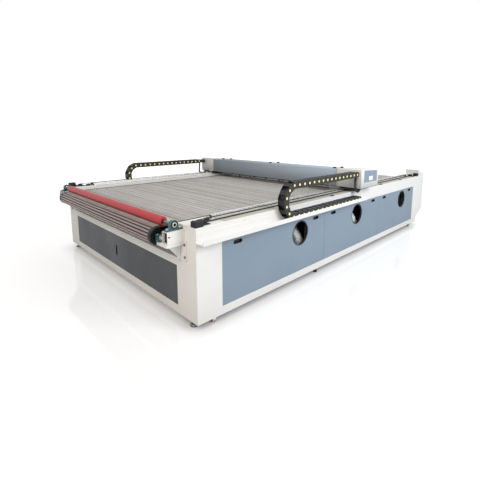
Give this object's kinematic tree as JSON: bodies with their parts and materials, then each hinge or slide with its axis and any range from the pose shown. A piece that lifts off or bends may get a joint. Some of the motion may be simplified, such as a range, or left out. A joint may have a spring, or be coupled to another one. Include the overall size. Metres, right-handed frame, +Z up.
{
  "type": "gantry laser cutting machine",
  "caption": "Long white gantry laser cutter with a slatted conveyor bed, red nip roller, blue-grey panels, a covered moving beam and an energy chain on each side.",
  "frame": {"origin": "centre of the bounding box at floor level", "axes": "+X across the bed to the side with the rear housing, +Y from the roller end to the far end, +Z up"},
  "size_m": [3.24, 5.1712, 1.137],
  "materials": {
    "frame_paint": "semi-gloss warm white powder coat",
    "panel_paint": "satin blue-grey powder coat",
    "front_panel_paint": "satin dark grey-blue powder coat",
    "cover_paint": "satin grey-blue powder coat",
    "slat_aluminium": "mill-finish extruded slats",
    "red_rubber": "smooth red roller covering",
    "black_plastic": "black moulded plastic and anodised fittings",
    "chain_plastic": "black energy chain links",
    "bearing_enamel": "teal enamelled cast housing",
    "bright_steel": "ground steel",
    "belt_rubber": "black toothed belt",
    "foil": "ribbed foil duct",
    "wheel_rubber": "red-brown wheel tyre"
  },
  "bodies": {
    "frame": {"side_frame_right": "frame_paint", "bearing_bracket_right": "frame_paint", "chain_tray_right": "frame_paint", "side_panel_right_1": "panel_paint", "side_panel_right_2": "panel_paint", "side_panel_right_3": "panel_paint", "gantry_rail_right": "bright_steel", "timing_belt_right": "belt_rubber", "belt_tensioner_right": "black_plastic", "belt_drive_right": "black_plastic", "pillow_block_right": "bearing_enamel", "front_bearing_right": "bearing_enamel", "rear_bearing_right": "bearing_enamel", "chain_lower_right": "chain_plastic", "side_frame_left": "frame_paint", "bearing_bracket_left": "frame_paint", "chain_tray_left": "frame_paint", "side_panel_left_1": "panel_paint", "side_panel_left_2": "panel_paint", "side_panel_left_3": "panel_paint", "gantry_rail_left": "bright_steel", "timing_belt_left": "belt_rubber", "belt_tensioner_left": "black_plastic", "belt_drive_left": "black_plastic", "pillow_block_left": "bearing_enamel", "front_bearing_left": "bearing_enamel", "rear_bearing_left": "bearing_enamel", "chain_lower_left": "chain_plastic", "front_frame": "frame_paint", "rear_frame": "frame_paint", "front_panel": "front_panel_paint", "slat_conveyor": "slat_aluminium", "suction_box": "frame_paint", "rear_tower": "frame_paint", "exhaust_duct_1": "foil", "exhaust_duct_2": "foil"},
    "gantry": {"end_cover_right": "frame_paint", "gantry_carriage_right": "black_plastic", "chain_upper_right": "chain_plastic", "chain_hose_right": "black_plastic", "end_cover_left": "frame_paint", "gantry_carriage_left": "black_plastic", "chain_upper_left": "chain_plastic", "chain_hose_left": "black_plastic", "gantry_beam": "frame_paint", "gantry_cover": "cover_paint", "x_rail": "bright_steel"},
    "head_carriage": {"head_carriage": "black_plastic"},
    "laser_head": {"laser_head": "bright_steel"},
    "front_drum": {"front_drum": "bright_steel"},
    "rear_drum": {"rear_drum": "bright_steel"},
    "nip_roller": {"nip_roller": "red_rubber"},
    "chain_bend_right": {"chain_bend_right": "chain_plastic"},
    "idler_pulley_right": {"idler_pulley_right": "bright_steel"},
    "wheel_right_1": {"wheel_right_1": "wheel_rubber"},
    "wheel_right_2": {"wheel_right_2": "wheel_rubber"},
    "chain_bend_left": {"chain_bend_left": "chain_plastic"},
    "idler_pulley_left": {"idler_pulley_left": "bright_steel"},
    "wheel_left_1": {"wheel_left_1": "wheel_rubber"},
    "wheel_left_2": {"wheel_left_2": "wheel_rubber"}
  },
  "joints": [
    {"name": "gantry_travel", "type": "slide", "parent": "frame", "child": "gantry", "axis": [0, 1, 0], "range_m": [-2.02, 1.62], "deforming": ["chain_lower_right", "chain_upper_right", "chain_lower_left", "chain_upper_left"]},
    {"name": "head_travel", "type": "slide", "parent": "gantry", "child": "head_carriage", "axis": [1, 0, 0], "range_m": [-0.49, 1.73]},
    {"name": "focus_travel", "type": "slide", "parent": "head_carriage", "child": "laser_head", "axis": [0, 0, 1], "range_m": [-0.004, 0.05]},
    {"name": "front_drum_spin", "type": "hinge", "parent": "frame", "child": "front_drum", "pos_m": [0, -2.51135, 0.7547], "axis": [1, 0, 0], "continuous": true},
    {"name": "rear_drum_spin", "type": "hinge", "parent": "frame", "child": "rear_drum", "pos_m": [0, 2.22365, 0.7547], "axis": [1, 0, 0], "continuous": true},
    {"name": "nip_roller_spin", "type": "hinge", "parent": "frame", "child": "nip_roller", "pos_m": [0, -2.45435, 0.8675], "axis": [1, 0, 0], "continuous": true},
    {"name": "chain_bend_right_travel", "type": "slide", "parent": "frame", "child": "chain_bend_right", "axis": [0, 1, 0], "range_m": [-1.02, 0.82]},
    {"name": "idler_right_spin", "type": "hinge", "parent": "frame", "child": "idler_pulley_right", "pos_m": [1.4, -2.25135, 0.8738], "axis": [1, 0, 0], "range_deg": [-6900, 8600]},
    {"name": "wheel_right_1_spin", "type": "hinge", "parent": "frame", "child": "wheel_right_1", "pos_m": [1.455, -2.18635, 0.0255], "axis": [1, 0, 0], "continuous": true},
    {"name": "wheel_right_2_spin", "type": "hinge", "parent": "frame", "child": "wheel_right_2", "pos_m": [1.455, 2.13365, 0.0255], "axis": [1, 0, 0], "continuous": true},
    {"name": "chain_bend_left_travel", "type": "slide", "parent": "frame", "child": "chain_bend_left", "axis": [0, 1, 0], "range_m": [-1.02, 0.82]},
    {"name": "idler_left_spin", "type": "hinge", "parent": "frame", "child": "idler_pulley_left", "pos_m": [-1.4, -2.25135, 0.8738], "axis": [1, 0, 0], "range_deg": [-6900, 8600]},
    {"name": "wheel_left_1_spin", "type": "hinge", "parent": "frame", "child": "wheel_left_1", "pos_m": [-1.455, -2.18635, 0.0255], "axis": [1, 0, 0], "continuous": true},
    {"name": "wheel_left_2_spin", "type": "hinge", "parent": "frame", "child": "wheel_left_2", "pos_m": [-1.455, 2.13365, 0.0255], "axis": [1, 0, 0], "continuous": true}
  ],
  "couplings": [
    {"joint": "rear_drum_spin", "follows": "front_drum_spin", "ratio": 1},
    {"joint": "nip_roller_spin", "follows": "front_drum_spin", "ratio": -1.9553},
    {"joint": "chain_bend_right_travel", "follows": "gantry_travel", "ratio": 0.5},
    {"joint": "idler_right_spin", "follows": "gantry_travel", "rad_per_m": -72.464},
    {"joint": "chain_bend_left_travel", "follows": "gantry_travel", "ratio": 0.5},
    {"joint": "idler_left_spin", "follows": "gantry_travel", "rad_per_m": -72.464}
  ]
}
